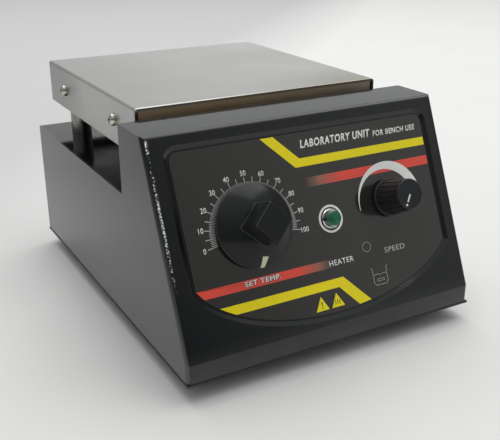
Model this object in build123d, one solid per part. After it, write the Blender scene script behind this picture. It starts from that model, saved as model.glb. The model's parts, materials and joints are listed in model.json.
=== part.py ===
"""Magnetic stirrer with a heated plate, built as separate pieces.

Frame: +Z up, the fascia faces -Y, X is centred.
The origin is under the middle of the machine, level with the bottom of its feet.
All sizes are in millimetres.
"""

import os
from math import cos, pi, radians, sin

from build123d import *

os.makedirs("parts", exist_ok=True)

# ---------------------------------------------------------------- cabinet sizes
BODY_W = 174.0            # outside width of the folded steel cabinet
BODY_D = 224.5            # front strip to rear wall
SHEET = 1.5               # cabinet sheet thickness
FASCIA_T = 2.0            # wall thickness behind the sloping front
FASCIA_TILT = 23.7        # slope of the front, degrees from upright
STRIP_H = 10.1            # upright strip below the sloping front
CONSOLE_H = 109.4         # top of the control console above the cabinet's bottom edge
CONSOLE_BACK = 72.8       # console's rear face, from the front strip
DECK_H = 72.6             # rear deck above the cabinet's bottom edge
FRONT_EDGE_R = 2.6        # rounding round the sloping front
FOLD_R = 1.1              # rounding of the other folds
LIP_W = 10.0              # inward flange along the bottom edge

# ---------------------------------------------------------------- base and feet
BASE_T = 1.0
BASE_LIP = 0.3            # how far the base plate stands out all round
KNOB_REACH = 0.4          # how far the heat knob's lowest corner stands out past the base plate
FOOT_H = 9.2
FOOT_R_TOP = 11.5
FOOT_R_BOTTOM = 10.0
FOOT_INSET = 26.0

# ---------------------------------------------------------------- heated plate
PLATE = 150.0             # square plate
PLATE_FRONT = 79.9        # front edge of the plate, from the front strip
PLATE_H = 113.5           # top of the plate above the cabinet's bottom edge
SKIRT_H = 25.8
TRAY_T = 1.2
TRAY_R = 1.8              # bend radius of the tray
SEAM = 0.8                # open slit at each folded corner
SEAM_SETBACK = 0.6        # front and rear flanges sit this far inside the side flanges
PAN_DROP = 6.5            # underside pan sits this far up inside the skirt
PAN_T = 1.2
PAN_WALL_H = 11.0
POST_R = 6.25
POST_X = 66.5
POST_DY = 43.5
SKIRT_SCREW_DROP_FRONT = 12.6   # skirt screws below the top face
SKIRT_SCREW_DROP_REAR = 13.9

# ---------------------------------------------------------------- fascia fittings (u across, v up the slope)
LABEL_U = 0.6             # the overlay sits slightly off centre
LABEL_HALF_W = 75.6
LABEL_TOP = 99.3
LABEL_CORNER = 4.4
LABEL_BELLY_A = 80.0      # the lower edge is part of an ellipse
LABEL_BELLY_B = 37.3
LABEL_BELLY_U = 2.0
LABEL_BELLY_V = 42.9
LABEL_T = 0.5
RECESS_MARGIN = 1.0       # flat border round the overlay at the bottom of its recess
RECESS_SLOPE = 2.2        # width of the recess's sloping wall
RECESS_DEPTH = 1.2
LABEL_FACE = LABEL_T - RECESS_DEPTH
TEMP_U, TEMP_V = -38.3, 57.9
SPEED_U, SPEED_V = 44.7, 57.3
LAMP_U, LAMP_V = 6.3, 53.0
SPEED_REST = 32.0         # speed pointer at rest, degrees clockwise from six o'clock

# ---------------------------------------------------------------- running fits
SHAFT_R = 3.0
RUNNING = 0.04            # radial clearance of a turning shaft

# ---------------------------------------------------------------- derived positions
BODY_Z = FOOT_H + BASE_T
OVERALL_D = KNOB_REACH + BASE_LIP + PLATE_FRONT + PLATE
FRONT_Y = KNOB_REACH + BASE_LIP - OVERALL_D / 2
REAR_Y = FRONT_Y + BODY_D
CONSOLE_Z = BODY_Z + CONSOLE_H
STEP_Y = FRONT_Y + CONSOLE_BACK
DECK_Z = BODY_Z + DECK_H
CREASE_Z = BODY_Z + STRIP_H
TILT = radians(FASCIA_TILT)
CONSOLE_FRONT_Y = FRONT_Y + (CONSOLE_Z - CREASE_Z) * sin(TILT) / cos(TILT)
PLATE_Z = BODY_Z + PLATE_H
PLATE_Y = FRONT_Y + PLATE_FRONT + PLATE / 2
PAN_Z = PLATE_Z - SKIRT_H + PAN_DROP
SCREW_Z = [PLATE_Z - SKIRT_SCREW_DROP_FRONT, PLATE_Z - SKIRT_SCREW_DROP_REAR]

fascia = Plane(
    origin=(0, FRONT_Y, CREASE_Z),
    x_dir=(1, 0, 0),
    z_dir=(0, -cos(TILT), sin(TILT)),
).location


def save(name, *shapes):
    """Write every solid of the given shapes as one node."""
    solids = [solid for shape in shapes for solid in shape.solids()]
    export_step(Compound(solids), f"parts/{name}.step")


def rod(radius, low, high):
    """Upright cylinder between two heights."""
    return Pos(0, 0, (low + high) / 2) * Cylinder(radius, high - low)


def tube(outer, inner, low, high):
    """Upright ring between two heights."""
    return rod(outer, low, high) - rod(inner, low - 1, high + 1)


def block(x0, x1, y0, y1, z0, z1):
    """Box from its two corners."""
    centre = Pos((x0 + x1) / 2, (y0 + y1) / 2, (z0 + z1) / 2)
    return centre * Box(x1 - x0, y1 - y0, z1 - z0)


def hexagon(across_flats, low, high, turn=0.0):
    """Hexagonal prism between two heights."""
    corner_radius = across_flats / 2 / cos(pi / 6)
    outline = Rot(0, 0, turn) * RegularPolygon(corner_radius, 6)
    return extrude(Pos(0, 0, low) * outline, high - low)


def spin(points):
    """Solid of revolution about Z from (radius, height) points."""
    outline = make_face(Polyline(*[(r, h) for r, h in points], close=True))
    return revolve(Plane.XZ * outline, Axis.Z)


def prism(points, half_width):
    """Solid with a (y, z) outline, centred on X."""
    outline = make_face(Polyline(*points, close=True))
    return extrude(Plane.YZ * outline, half_width, both=True)


def slope_y(height, offset):
    """Y of the fascia plane, moved outward by offset, at a height."""
    along = (height - CREASE_Z - offset * sin(TILT)) / cos(TILT)
    return FRONT_Y + along * sin(TILT) - offset * cos(TILT)


def pan_screw(radius, length, head_r, head_h):
    """Screw hanging down from z = 0, with a domed head and a cross recess above it."""
    rim = head_h * 0.28
    sides = Polyline((0, head_h), (0, 0), (head_r, 0), (head_r, rim))
    dome = ThreePointArc((head_r, rim), (head_r * 0.74, head_h * 0.82), (0, head_h))
    head = revolve(Plane.XZ * make_face(sides + dome), Axis.Z)
    cross = Box(head_r * 1.1, head_r * 0.26, head_h) + Box(head_r * 0.26, head_r * 1.1, head_h)
    return head + rod(radius, -length, 0) - Pos(0, 0, head_h * 1.05) * cross


def label_outline(margin):
    """Outline of the printed overlay, grown by a margin."""
    half = LABEL_HALF_W + margin
    top = LABEL_TOP + margin
    upper = Pos(LABEL_U, (top + LABEL_BELLY_V) / 2) * Rectangle(2 * half, top - LABEL_BELLY_V)
    corners = upper.vertices().sort_by(Axis.Y)[-2:]
    upper = fillet(corners, LABEL_CORNER + margin)
    belly = Pos(LABEL_BELLY_U, LABEL_BELLY_V) * Ellipse(LABEL_BELLY_A + margin, LABEL_BELLY_B + margin)
    lower = belly & Pos(LABEL_U, LABEL_BELLY_V - 50) * Rectangle(2 * half, 100)
    return upper + lower


# ================================================================ cabinet shell
outer = prism(
    [
        (FRONT_Y, BODY_Z),
        (FRONT_Y, CREASE_Z),
        (CONSOLE_FRONT_Y, CONSOLE_Z),
        (STEP_Y, CONSOLE_Z),
        (STEP_Y, DECK_Z),
        (REAR_Y, DECK_Z),
        (REAR_Y, BODY_Z),
    ],
    BODY_W / 2,
)


def near(edge, y, z):
    """True when an edge's middle lies at this y and z."""
    middle = edge.center()
    return abs(middle.Y - y) < 0.1 and abs(middle.Z - z) < 0.1


slope_middle = ((FRONT_Y + CONSOLE_FRONT_Y) / 2, (CREASE_Z + CONSOLE_Z) / 2)
strip_middle = (FRONT_Y, (BODY_Z + CREASE_Z) / 2)
front_edges = [
    edge
    for edge in outer.edges()
    if near(edge, *slope_middle) or near(edge, *strip_middle) or near(edge, CONSOLE_FRONT_Y, CONSOLE_Z)
]
outer = fillet(front_edges, FRONT_EDGE_R)
fold_edges = [edge for edge in outer.edges() if near(edge, REAR_Y, DECK_Z) or near(edge, STEP_Y, CONSOLE_Z)]
outer = fillet(fold_edges, FOLD_R)

inside_top = CONSOLE_Z - SHEET
cavity_floor = BODY_Z + SHEET
cavity = prism(
    [
        (FRONT_Y + SHEET, cavity_floor),
        (FRONT_Y + SHEET, CREASE_Z),
        (slope_y(CREASE_Z + 3.0, -FASCIA_T), CREASE_Z + 3.0),
        (slope_y(inside_top, -FASCIA_T), inside_top),
        (STEP_Y - SHEET, inside_top),
        (STEP_Y - SHEET, DECK_Z - SHEET),
        (REAR_Y - SHEET, DECK_Z - SHEET),
        (REAR_Y - SHEET, cavity_floor),
    ],
    BODY_W / 2 - SHEET,
)
opening = block(
    -BODY_W / 2 + SHEET + LIP_W,
    BODY_W / 2 - SHEET - LIP_W,
    FRONT_Y + SHEET + LIP_W,
    REAR_Y - SHEET - LIP_W,
    BODY_Z - 1,
    cavity_floor + 1,
)
shell = outer - cavity - opening

ABOVE = 0.6
recess_floor = Pos(0, 0, -RECESS_DEPTH) * label_outline(RECESS_MARGIN)
recess_rim = Pos(0, 0, ABOVE) * label_outline(RECESS_MARGIN + RECESS_SLOPE * (1 + ABOVE / RECESS_DEPTH))
shell -= fascia * loft([recess_floor.faces()[0], recess_rim.faces()[0]], ruled=True)

REG_BUSH_R = 4.0
POT_BUSH_R = 3.5
LAMP_BARREL_R = 4.4
FITTINGS = [
    (TEMP_U, TEMP_V, REG_BUSH_R),
    (SPEED_U, SPEED_V, POT_BUSH_R),
    (LAMP_U, LAMP_V, LAMP_BARREL_R),
]
for u, v, r in FITTINGS:
    shell -= fascia * Pos(u, v, 0) * Cylinder(r + 0.15, 10)

# Deck holes: posts, motor shaft and motor screws
POST_BOLT_R = 2.5
POST_SPOTS = [(x, PLATE_Y + dy) for x in (-POST_X, POST_X) for dy in (-POST_DY, POST_DY)]
SKIRT_SPOTS = [(x, y, SCREW_Z[y > PLATE_Y]) for x, y in POST_SPOTS]
MOTOR_SCREW_R = 2.0
MOTOR_SCREW_CIRCLE = 20.5
MOTOR_SPOTS = [
    (MOTOR_SCREW_CIRCLE * cos(radians(a)), PLATE_Y + MOTOR_SCREW_CIRCLE * sin(radians(a)))
    for a in (45, 135, 225, 315)
]
for x, y in POST_SPOTS:
    shell -= Pos(x, y, DECK_Z) * Cylinder(POST_BOLT_R + 0.1, 10)
for x, y in MOTOR_SPOTS:
    shell -= Pos(x, y, DECK_Z) * Cylinder(MOTOR_SCREW_R + 0.1, 10)
DECK_SHAFT_HOLE_R = 6.0
shell -= Pos(0, PLATE_Y, DECK_Z) * Cylinder(DECK_SHAFT_HOLE_R, 10)

# Rear wall: power inlet cutout and its two screws
INLET_X = -45.0
INLET_Z = BODY_Z + 34.0
INLET_W, INLET_H = 27.0, 19.6
INLET_SCREW_DX = 20.0
INLET_SCREW_R = 1.5
shell -= Pos(INLET_X, REAR_Y, INLET_Z) * Box(INLET_W + 0.6, 10, INLET_H + 0.6)
for dx in (-INLET_SCREW_DX, INLET_SCREW_DX):
    shell -= Pos(INLET_X + dx, REAR_Y, INLET_Z) * Rot(90, 0, 0) * Cylinder(INLET_SCREW_R + 0.1, 10)

# Bottom flange: self-tapping screws from the base plate
BASE_SCREW_R = 1.7
FLANGE_X = BODY_W / 2 - SHEET - LIP_W / 2
BASE_SPOTS = [(x, FRONT_Y + y) for x in (-FLANGE_X, FLANGE_X) for y in (52.0, 112.0, 172.0)]
for x, y in BASE_SPOTS:
    shell -= Pos(x, y, BODY_Z) * Cylinder(BASE_SCREW_R + 0.05, 10)
save("cabinet_shell", shell)

# ================================================================ base plate, feet
BASE_Y0 = FRONT_Y - BASE_LIP
BASE_Y1 = REAR_Y + BASE_LIP
base = block(-BODY_W / 2 - BASE_LIP, BODY_W / 2 + BASE_LIP, BASE_Y0, BASE_Y1, FOOT_H, BODY_Z)
FOOT_SCREW_R = 2.0
FOOT_SPOTS = [
    (x, y)
    for x in (-BODY_W / 2 + FOOT_INSET, BODY_W / 2 - FOOT_INSET)
    for y in (FRONT_Y + FOOT_INSET, REAR_Y - FOOT_INSET)
]
for x, y in FOOT_SPOTS:
    base -= Pos(x, y, BODY_Z) * Cylinder(FOOT_SCREW_R + 0.1, 10)
for x, y in BASE_SPOTS:
    base -= Pos(x, y, BODY_Z) * Cylinder(BASE_SCREW_R + 0.3, 10)
VENT_PITCH = 8.0
for row in range(6):
    slot = Pos(0, PLATE_Y + (row - 2.5) * VENT_PITCH, BODY_Z) * Box(36, 2.6, 10)
    base -= slot
STANDOFF_H = 10.0
STANDOFF_R = 1.5
BOARD_X, BOARD_Y = 46.0, FRONT_Y + 50.0
BOARD_W, BOARD_D, BOARD_T = 60.0, 52.0, 1.6
BOARD_SPOTS = [
    (BOARD_X + sx * (BOARD_W / 2 - 4), BOARD_Y + sy * (BOARD_D / 2 - 4)) for sx in (-1, 1) for sy in (-1, 1)
]
save("base_plate", base)
base_screw = Rot(180, 0, 0) * pan_screw(BASE_SCREW_R, 7.0, 3.2, 1.9)
save("base_screws", *[Pos(x, y, FOOT_H) * base_screw for x, y in BASE_SPOTS])

FOOT_POCKET = 4.6
foot = spin([(0, 0), (FOOT_R_BOTTOM - 0.6, 0), (FOOT_R_BOTTOM, 0.6), (FOOT_R_TOP, FOOT_H), (0, FOOT_H)])
foot -= rod(4.4, -1, FOOT_POCKET) + rod(FOOT_SCREW_R + 0.05, 0, FOOT_H + 1)
foot_screw = Pos(0, 0, FOOT_POCKET) * Rot(180, 0, 0) * pan_screw(FOOT_SCREW_R, 10.0, 3.8, 2.4)
foot_nut = hexagon(7.0, BODY_Z, BODY_Z + 3.2) - rod(FOOT_SCREW_R + 0.02, 0, 30)
save("rubber_feet", *[Pos(x, y, 0) * foot for x, y in FOOT_SPOTS])
save("foot_screws", *[Pos(x, y, 0) * foot_screw for x, y in FOOT_SPOTS])
save("foot_nuts", *[Pos(x, y, 0) * foot_nut for x, y in FOOT_SPOTS])

# ================================================================ printed overlay
label = extrude(Pos(0, 0, -RECESS_DEPTH) * label_outline(0.0), LABEL_T)
for u, v, r in FITTINGS:
    label -= Pos(u, v, 0) * Cylinder(r + 0.3, 10)
save("fascia_label", fascia * label)

# ================================================================ heater control and its knob
at_temp = fascia * Pos(TEMP_U, TEMP_V, 0)
BEHIND = -FASCIA_T
REG_W, REG_V, REG_D = 44.0, 38.0, 30.0
regulator = fillet(Box(REG_W, REG_V, REG_D).edges().filter_by(Axis.Z), 3.0)
regulator = Pos(0, 0, BEHIND - REG_D / 2) * regulator + rod(REG_BUSH_R, BEHIND, 1.9)
regulator -= rod(SHAFT_R + RUNNING, -14.0, 3.0)
tab = block(-3.15, 3.15, -0.4, 0.4, BEHIND - REG_D - 8.0, BEHIND - REG_D)
tabs = [Pos(x, y, 0) * tab for x, y in ((-12, 10), (0, 10), (12, 10), (-7, -10), (7, -10))]
NUT_T = 2.0
regulator_nut = hexagon(12.0, LABEL_FACE, LABEL_FACE + NUT_T) - rod(REG_BUSH_R + 0.02, -5, 5)
save("regulator_body", at_temp * regulator)
save("regulator_tabs", *[at_temp * t for t in tabs])
save("regulator_nut", at_temp * regulator_nut)

DISC_R = 21.0
DISC_LOW = 0.8
RIM_TOP = 2.1
DOME_R = 9.0              # the domed disc levels out at this radius
DOME_TOP = 8.2
GRIP = 16.0               # square grip, across flats at its foot
GRIP_STEP = 17.5          # above this height the grip's sides lean in more
GRIP_TOP = 22.0
sides = Polyline(
    (0, DOME_TOP),
    (0, DISC_LOW),
    (DISC_R - 0.3, DISC_LOW),
    (DISC_R, DISC_LOW + 0.3),
    (DISC_R, RIM_TOP - 0.3),
    (DISC_R - 0.3, RIM_TOP),
)
dome = ThreePointArc((DISC_R - 0.3, RIM_TOP), (15.4, 5.7), (DOME_R, DOME_TOP))
disc = revolve(Plane.XZ * make_face(sides + dome + Line((DOME_R, DOME_TOP), (0, DOME_TOP))), Axis.Z)
foot = fillet(Rectangle(GRIP, GRIP).vertices(), 1.6)
grip = extrude(Pos(0, 0, DISC_LOW + 2.2) * foot, GRIP_STEP - DISC_LOW - 2.2, taper=1.2)
grip += extrude(grip.faces().sort_by(Axis.Z)[-1], GRIP_TOP - GRIP_STEP, taper=6.0)
grip = fillet(grip.faces().sort_by(Axis.Z)[-1].edges(), 0.5)
knob = disc + Rot(0, 0, 45) * grip
TEMP_SHAFT_TOP = 16.0
knob -= rod(7.8, 0, 2.3) + rod(SHAFT_R + 0.01, 0, TEMP_SHAFT_TOP + 0.2)
mark_outline = make_face(Polyline((-1.15, -15.5), (2.05, -16.1), (0.0, -22.0), (-1.9, -21.6), close=True))
mark_cutter = extrude(Pos(0, 0, 1.5) * mark_outline, 10)
pointer = knob & mark_cutter
knob -= mark_cutter
save("temp_knob", at_temp * knob)
save("temp_pointer", at_temp * pointer)
save("regulator_shaft", at_temp * rod(SHAFT_R, -13.8, TEMP_SHAFT_TOP))

# ================================================================ speed control and its knob
at_speed = fascia * Pos(SPEED_U, SPEED_V, 0)
POT_R = 8.4
pot = rod(POT_R, BEHIND - 9.5, BEHIND) + rod(POT_BUSH_R, BEHIND, 2.4)
pot -= rod(SHAFT_R + RUNNING, -9.0, 3.0)
pot_tab = block(-0.9, 0.9, -POT_R - 7.0, -POT_R + 0.9, BEHIND - 9.5 - 0.5, BEHIND - 9.5)
pot_tabs = [Pos(x, 0, 0) * pot_tab for x in (-5.0, 0.0, 5.0)]
pot_nut = hexagon(10.0, LABEL_FACE, LABEL_FACE + NUT_T) - rod(POT_BUSH_R + 0.02, -5, 5)
save("speed_pot_body", at_speed * pot)
save("speed_pot_tabs", *[at_speed * t for t in pot_tabs])
save("speed_pot_nut", at_speed * pot_nut)

SPEED_LOW = 0.8
SPEED_BASE_R = 10.2
SPEED_FACE_R = 8.1
SPEED_TOP = 18.7
speed_knob = spin(
    [
        (0, SPEED_LOW),
        (SPEED_BASE_R - 0.3, SPEED_LOW),
        (SPEED_BASE_R, SPEED_LOW + 0.3),
        (SPEED_BASE_R, 1.7),
        (9.6, 2.0),
        (SPEED_FACE_R, 18.2),
        (SPEED_FACE_R - 0.5, SPEED_TOP),
        (0, SPEED_TOP),
    ]
)
FLUTES = 18
FLUTE_LEAN = 5.4
flute = Pos(9.62, 0, 4.0) * Rot(0, -FLUTE_LEAN, 0) * Pos(0, 0, 6.8) * Cylinder(0.62, 15.6)
for i in range(FLUTES):
    speed_knob -= Rot(0, 0, i * 360 / FLUTES) * flute
SPEED_SHAFT_TOP = 14.0
speed_knob -= rod(6.4, 0, 3.2) + rod(SHAFT_R + 0.01, 0, SPEED_SHAFT_TOP + 0.2)
line = Pos(0, -2.4, SPEED_TOP) * Box(0.9, 4.4, 1.0)
dot = Pos(0, -6.3, SPEED_TOP) * Cylinder(0.62, 1.0)
speed_mark = Rot(0, 0, -SPEED_REST) * (line + dot)
speed_pointer = speed_knob & speed_mark
speed_knob -= speed_mark
save("speed_knob", at_speed * speed_knob)
save("speed_pointer", at_speed * speed_pointer)
save("speed_pot_shaft", at_speed * rod(SHAFT_R, -8.8, SPEED_SHAFT_TOP))

# ================================================================ heater lamp
at_lamp = fascia * Pos(LAMP_U, LAMP_V, 0)
LAMP_FLANGE_R = 5.2
LAMP_BORE_R = 3.6
LAMP_COLLAR = 2.7         # the chromed collar's height, with the lens seated on it
bezel = spin(
    [
        (LAMP_BORE_R, -14.0),
        (LAMP_BARREL_R, -14.0),
        (LAMP_BARREL_R, LABEL_FACE),
        (LAMP_FLANGE_R, LABEL_FACE),
        (LAMP_FLANGE_R, 0.2),
        (LAMP_FLANGE_R - 0.3, 0.6),
        (4.3, LAMP_COLLAR),
        (LAMP_BORE_R, LAMP_COLLAR),
    ]
)
lens = spin(
    [
        (0, -6.0),
        (3.55, -6.0),
        (3.55, LAMP_COLLAR + 0.02),
        (3.95, LAMP_COLLAR + 0.02),
        (3.95, LAMP_COLLAR + 1.0),
        (3.3, LAMP_COLLAR + 1.6),
        (1.8, LAMP_COLLAR + 2.0),
        (0, LAMP_COLLAR + 2.1),
    ]
)
lamp_base = rod(3.55, -14.0, -6.2) + rod(4.3, -24.0, -14.0)
lamp_lead = rod(0.5, -29.0, -24.0)
lamp_nut = hexagon(12.0, BEHIND - 2.4, BEHIND) - rod(LAMP_BARREL_R + 0.02, -9, 5)
save("lamp_bezel", at_lamp * bezel)
save("lamp_lens", at_lamp * lens)
save("lamp_base", at_lamp * lamp_base)
save("lamp_leads", *[at_lamp * Pos(x, 0, 0) * lamp_lead for x in (-2.0, 2.0)])
save("lamp_nut", at_lamp * lamp_nut)

# ================================================================ heated plate
HALF = PLATE / 2
at_plate = Pos(0, PLATE_Y, 0)
SKIRT_Z = PLATE_Z - SKIRT_H
INNER_HALF_X = HALF - TRAY_T
INNER_HALF_Y = HALF - SEAM_SETBACK - TRAY_T
tray = block(-HALF, HALF, -HALF, HALF, SKIRT_Z, PLATE_Z)
tray = fillet(tray.faces().sort_by(Axis.Z)[-1].edges(), TRAY_R)
setback = block(-INNER_HALF_X, INNER_HALF_X, HALF - SEAM_SETBACK, HALF + 1, SKIRT_Z - 1, PLATE_Z + 1)
tray -= setback
tray -= Rot(0, 0, 180) * setback
tray -= block(-INNER_HALF_X, INNER_HALF_X, -INNER_HALF_Y, INNER_HALF_Y, SKIRT_Z - 1, PLATE_Z - TRAY_T)
for sx in (-1, 1):
    for sy in (-1, 1):
        x = sx * (INNER_HALF_X - SEAM / 2)
        y = sy * (INNER_HALF_Y + TRAY_T / 2)
        tray -= Pos(x, y, SKIRT_Z + SKIRT_H / 2 - TRAY_R) * Box(SEAM, 4 * TRAY_T, SKIRT_H)
SKIRT_SCREW_R = 1.95
for x, y, z in SKIRT_SPOTS:
    side = 1 if x > 0 else -1
    tray -= Pos(side * HALF, y - PLATE_Y, z) * Rot(0, 90, 0) * Cylinder(SKIRT_SCREW_R + 0.1, 10)
save("plate_cover", at_plate * tray)

PAN_HALF_X = INNER_HALF_X - 0.2
PAN_HALF_Y = INNER_HALF_Y - 0.3
WELL_R = 31.0
pan = block(-PAN_HALF_X, PAN_HALF_X, -PAN_HALF_Y, PAN_HALF_Y, PAN_Z, PAN_Z + PAN_WALL_H)
pan -= block(
    -PAN_HALF_X + PAN_T,
    PAN_HALF_X - PAN_T,
    -PAN_HALF_Y + PAN_T,
    PAN_HALF_Y - PAN_T,
    PAN_Z + PAN_T,
    PAN_Z + 50,
)
pan -= rod(WELL_R, PAN_Z - 1, PAN_Z + 5)
for x, y, z in SKIRT_SPOTS:
    side = 1 if x > 0 else -1
    pan -= Pos(x, y - PLATE_Y, PAN_Z) * Cylinder(POST_BOLT_R + 0.1, 10)
    pan -= Pos(side * PAN_HALF_X, y - PLATE_Y, z) * Rot(0, 90, 0) * Cylinder(SKIRT_SCREW_R + 0.1, 6)
save("heater_pan", at_plate * pan)

SPREADER_T = 3.0
MICA_T = 1.5
SPREADER_Z = PLATE_Z - TRAY_T - SPREADER_T
MICA_Z = SPREADER_Z - MICA_T
spreader = block(-70, 70, -70, 70, SPREADER_Z, SPREADER_Z + SPREADER_T)
element = block(-67, 67, -67, 67, MICA_Z, SPREADER_Z)
wool = block(-60, 60, -67, 67, PAN_Z + PAN_T, MICA_Z) - rod(WELL_R, PAN_Z, MICA_Z + 1)
save("heat_spreader", at_plate * spreader)
save("heater_element", at_plate * element)
save("insulation_pad", at_plate * wool)

# Skirt screws, their nuts, and the four posts with their bolts
skirt_screw = pan_screw(SKIRT_SCREW_R, 4.4, 3.5, 2.9)
skirt_nut = tube(3.0, SKIRT_SCREW_R + 0.02, 0, 1.7)
skirt_screws = []
skirt_nuts = []
for x, y, z in SKIRT_SPOTS:
    side = 1 if x > 0 else -1
    skirt_screws.append(Pos(side * HALF, y, z) * Rot(0, side * 90, 0) * Rot(0, 0, 25) * skirt_screw)
    nut_x = side * (PAN_HALF_X - PAN_T - 1.7)
    skirt_nuts.append(Pos(nut_x, y, z) * Rot(0, side * 90, 0) * skirt_nut)
save("plate_screws", *skirt_screws)
save("plate_nuts", *skirt_nuts)

post = tube(POST_R, POST_BOLT_R + 0.1, DECK_Z, PAN_Z)
POST_NUT_T = 2.7
bolt_low = DECK_Z - SHEET
bolt_high = PAN_Z + PAN_T + POST_NUT_T + 0.2
bolt = hexagon(8.0, bolt_low - 3.5, bolt_low) + rod(POST_BOLT_R, bolt_low, bolt_high)
post_nut = hexagon(8.0, PAN_Z + PAN_T, PAN_Z + PAN_T + POST_NUT_T, 30.0)
post_nut -= rod(POST_BOLT_R + 0.02, PAN_Z, PLATE_Z)
save("plate_posts", *[Pos(x, y, 0) * post for x, y in POST_SPOTS])
save("post_bolts", *[Pos(x, y, 0) * bolt for x, y in POST_SPOTS])
save("post_nuts", *[Pos(x, y, 0) * post_nut for x, y in POST_SPOTS])

# ================================================================ motor under the deck
CAN_R = 28.0
CAN_T = 1.5
GASKET_T = 2.1
CAP_T = 4.0
CAN_H = 41.0
BEARING_R = 7.5
gasket_z = DECK_Z - SHEET - GASKET_T
cap_z = gasket_z - CAP_T
can_z = cap_z - CAN_H
can = rod(CAN_R, can_z, cap_z) - rod(CAN_R - CAN_T, can_z + CAN_T, cap_z + 1)
seat_z = can_z + CAN_T
can += tube(BEARING_R + 1.5, BEARING_R, seat_z, seat_z + 4.5)
cap = rod(CAN_R, cap_z, gasket_z) - rod(BEARING_R, cap_z - 1, gasket_z + 1)
gasket = tube(CAN_R - 1.0, 12.0, gasket_z, gasket_z + GASKET_T)
for x, y in MOTOR_SPOTS:
    hole = Pos(x, y - PLATE_Y, gasket_z) * Cylinder(MOTOR_SCREW_R + 0.05, 20)
    cap -= hole
    gasket -= hole
bearing = tube(BEARING_R, SHAFT_R + RUNNING, 0, CAP_T)
motor_screw = pan_screw(MOTOR_SCREW_R, SHEET + GASKET_T + CAP_T, 3.8, 2.4)
arc = tube(CAN_R - CAN_T, 20.0, can_z + 9.0, can_z + 35.0)
arcs = arc - block(-40, 40, -6, 6, 0, 200)
save("motor_can", at_plate * can)
save("motor_cap", at_plate * cap)
save("motor_gasket", at_plate * gasket)
save("motor_bearings", at_plate * Pos(0, 0, cap_z) * bearing, at_plate * Pos(0, 0, seat_z) * bearing)
save("motor_magnets", at_plate * arcs)
save("motor_screws", *[Pos(x, y, DECK_Z) * motor_screw for x, y in MOTOR_SPOTS])

HUB_DISC_Z = PAN_Z - 0.2
HUB_DISC_T = 4.0
HUB_BOSS_Z = HUB_DISC_Z - 10.0
MAGNET_R = 9.0
MAGNET_T = 8.0
MAGNET_X = 16.0
GRUB_Z = HUB_BOSS_Z + 4.5
shaft = rod(SHAFT_R, seat_z + 0.3, HUB_DISC_Z + HUB_DISC_T)
core = tube(19.0, SHAFT_R + 0.01, can_z + 11.0, can_z + 33.0)
hub = rod(26.0, HUB_DISC_Z, HUB_DISC_Z + HUB_DISC_T) + rod(7.0, HUB_BOSS_Z, HUB_DISC_Z)
hub -= rod(SHAFT_R + 0.01, HUB_BOSS_Z - 1, HUB_DISC_Z + 10)
pocket_z = HUB_DISC_Z + HUB_DISC_T - 1.0
magnets = []
for x in (-MAGNET_X, MAGNET_X):
    magnet = Pos(x, 0, 0) * rod(MAGNET_R, pocket_z, pocket_z + MAGNET_T)
    hub -= magnet
    magnets.append(at_plate * magnet)
grub = Pos(0, -5.05, GRUB_Z) * Rot(90, 0, 0) * Cylinder(1.5, 3.9)
hub -= Pos(0, -5.0, GRUB_Z) * Rot(90, 0, 0) * Cylinder(1.52, 4.4)
save("motor_shaft", at_plate * shaft)
save("rotor_core", at_plate * core)
save("magnet_hub", at_plate * hub)
save("drive_magnets", *magnets)
save("hub_screw", at_plate * grub)

# ================================================================ speed board on the base plate
BOARD_Z = BODY_Z + STANDOFF_H
board = Pos(BOARD_X, BOARD_Y, BOARD_Z + BOARD_T / 2) * Box(BOARD_W, BOARD_D, BOARD_T)
for x, y in BOARD_SPOTS:
    board -= Pos(x, y, BOARD_Z) * Cylinder(STANDOFF_R + 0.1, 10)
standoff = hexagon(6.0, BODY_Z, BOARD_Z) - rod(STANDOFF_R + 0.02, BODY_Z + 2.0, BOARD_Z + 1)
board_screw = pan_screw(STANDOFF_R, 6.5, 2.8, 1.8)
PARTS_Z = BOARD_Z + BOARD_T
capacitors = [
    Pos(BOARD_X + x, BOARD_Y + 12.0, 0) * rod(r, PARTS_Z, PARTS_Z + h)
    for x, r, h in ((-16.0, 6.0, 20.0), (0.0, 5.0, 14.0))
]
sink = block(12.0, 26.0, -14.0, 14.0, PARTS_Z, PARTS_Z + 22.0)
for i in range(4):
    sink -= Pos(15.4 + 2.4 * i, 0, PARTS_Z + 14.0) * Box(1.2, 40, 20)
coil_block = block(-20.0, 2.0, -18.0, 2.0, PARTS_Z, PARTS_Z + 18.0)
terminals = block(-21.0, 9.0, -26.0, -19.0, PARTS_Z, PARTS_Z + 9.0)
for i in range(5):
    terminals -= Pos(-18.0 + 6.0 * i, -22.5, PARTS_Z + 9.0) * Cylinder(1.6, 6)
at_board = Pos(BOARD_X, BOARD_Y, 0)
save("speed_board", board)
save("board_standoffs", *[Pos(x, y, 0) * standoff for x, y in BOARD_SPOTS])
save("board_screws", *[Pos(x, y, PARTS_Z) * board_screw for x, y in BOARD_SPOTS])
save("board_capacitors", *capacitors)
save("board_heatsink", at_board * sink)
save("board_transformer", at_board * coil_block)
save("board_terminals", at_board * terminals)

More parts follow.
